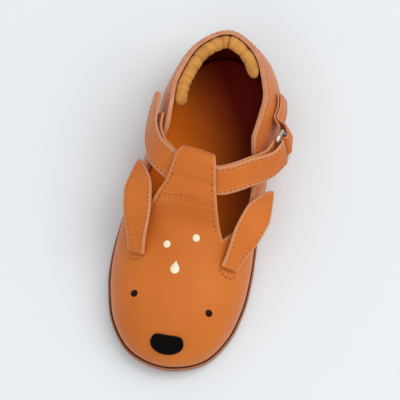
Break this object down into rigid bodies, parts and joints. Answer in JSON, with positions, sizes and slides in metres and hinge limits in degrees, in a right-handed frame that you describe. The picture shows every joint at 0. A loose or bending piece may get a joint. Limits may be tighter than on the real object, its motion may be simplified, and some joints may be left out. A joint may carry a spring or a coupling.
{
  "type": "toddler t-bar shoe",
  "caption": "Right toddler shoe in soft leather: T-bar looped over a strap that turns round a wire ring, ears and a nose on the toe, thin rubber sole.",
  "frame": {"origin": "centre of the bounding box's footprint, on the ground the sole stands on", "axes": "toe towards -Y, heel towards +Y, inner (medial) side of the foot +X, up +Z"},
  "size_m": [0.0696, 0.1452, 0.0519],
  "materials": {
    "tan_leather": "smooth, soft sheen",
    "lining_leather": "soft, gathered",
    "insole_leather": "matt",
    "sole_rubber": "matt",
    "ring_metal": "plain wire",
    "nose_leather": "satin black"
  },
  "bodies": {
    "root": {"outsole": "sole_rubber", "insole": "insole_leather", "upper": "tan_leather", "collar_lining": "lining_leather", "strap": "tan_leather", "strap_ring": "ring_metal", "ring_tab": "tan_leather", "ear_medial": "tan_leather", "ear_lateral": "tan_leather", "nose_patch": "nose_leather"}
  },
  "joints": []
}
